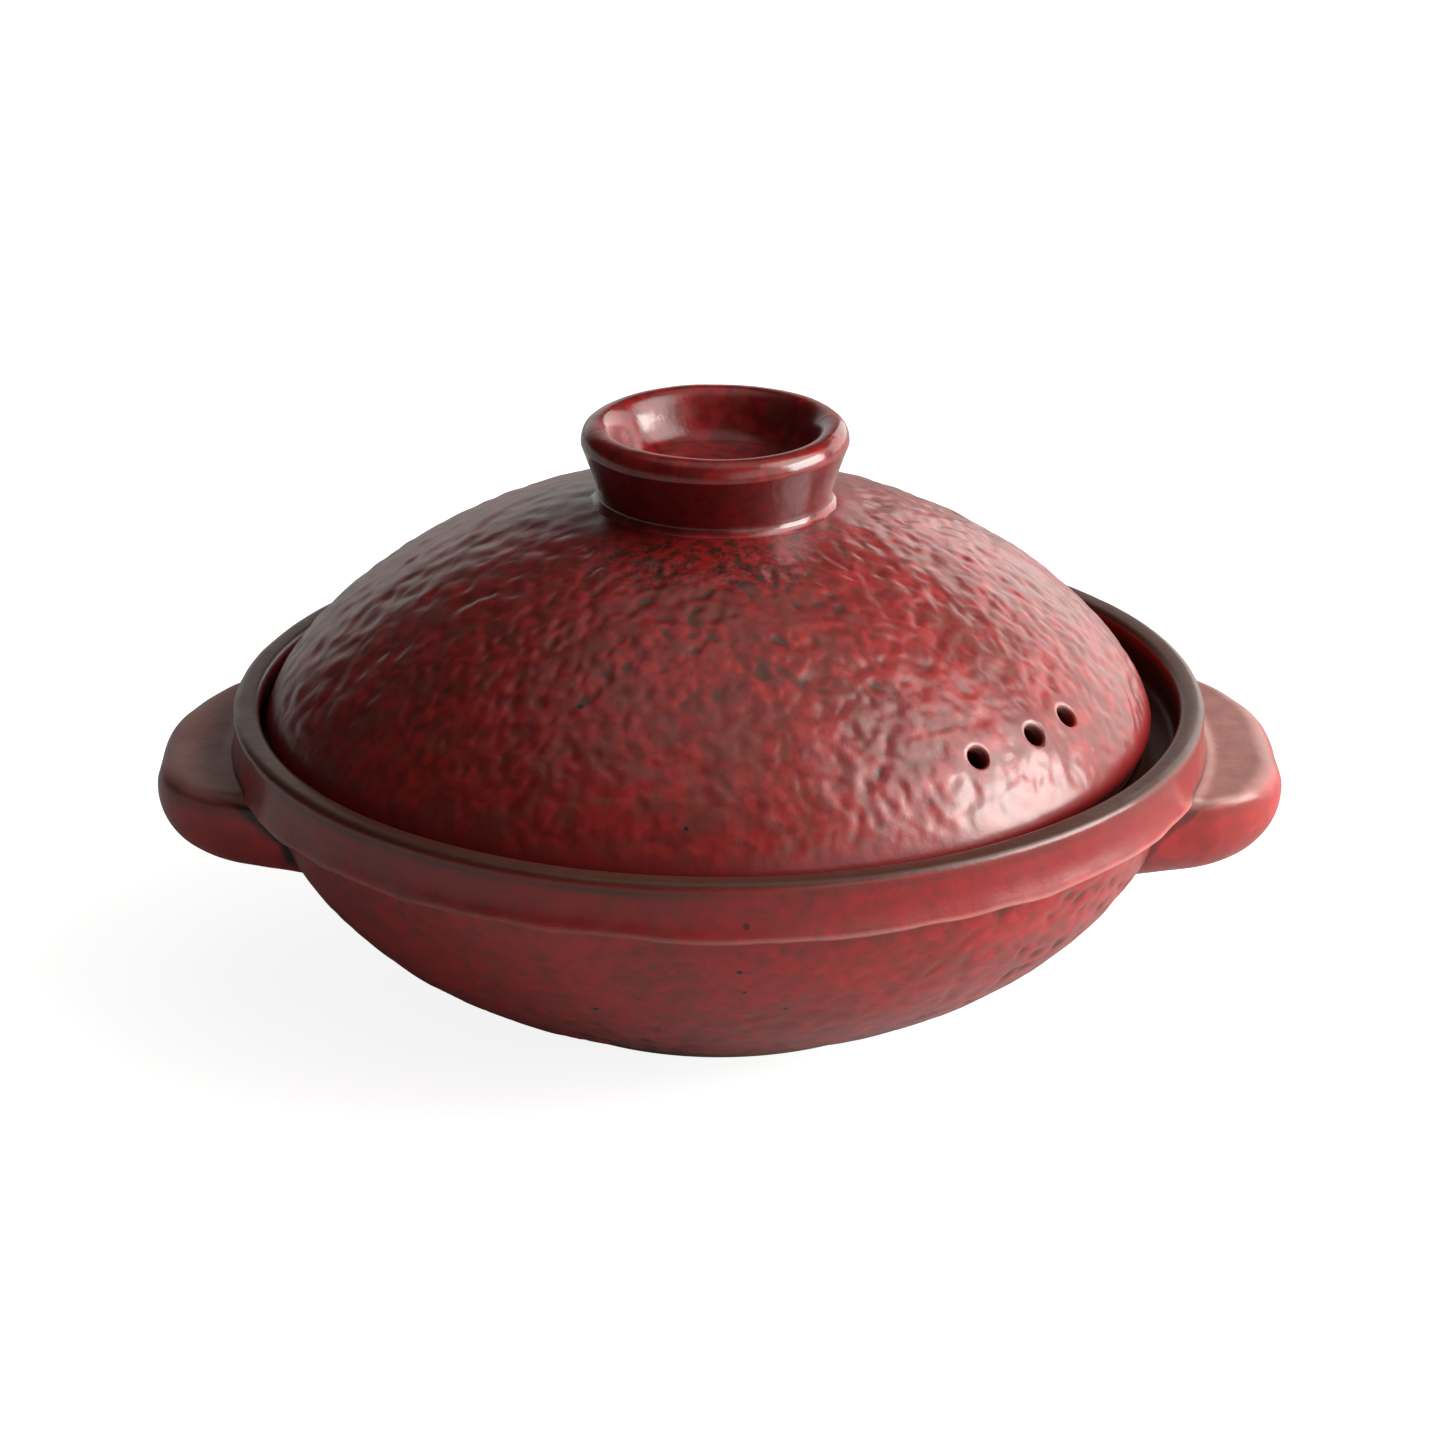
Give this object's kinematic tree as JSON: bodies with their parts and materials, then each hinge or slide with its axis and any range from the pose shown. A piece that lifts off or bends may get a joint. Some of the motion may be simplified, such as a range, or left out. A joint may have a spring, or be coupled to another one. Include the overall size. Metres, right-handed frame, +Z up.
{
  "type": "casserole pot",
  "caption": "Round earthenware casserole with a collared bowl, solid tab handles and a domed lid with steam vents and a cupped knob, glazed mottled red.",
  "frame": {"origin": "middle of the foot ring, on the surface that the pot stands on", "axes": "+Z up along the bowl's axis, +X towards the right handle as the picture shows it, +Y towards the back"},
  "size_m": [0.3248, 0.2824, 0.169],
  "materials": {
    "bowl_glaze": "satin",
    "handle_glaze": "satin",
    "lid_glaze": "satin",
    "knob_glaze": "satin"
  },
  "bodies": {
    "pot": {"pot_bowl": "bowl_glaze", "handle_left": "handle_glaze", "handle_right": "handle_glaze"},
    "lid": {"lid_dome": "lid_glaze", "lid_knob": "knob_glaze"}
  },
  "joints": [
    {"name": "lid_lift", "type": "slide", "parent": "pot", "child": "lid", "axis": [0, 0, 1], "range_m": [0, 0.12]}
  ]
}
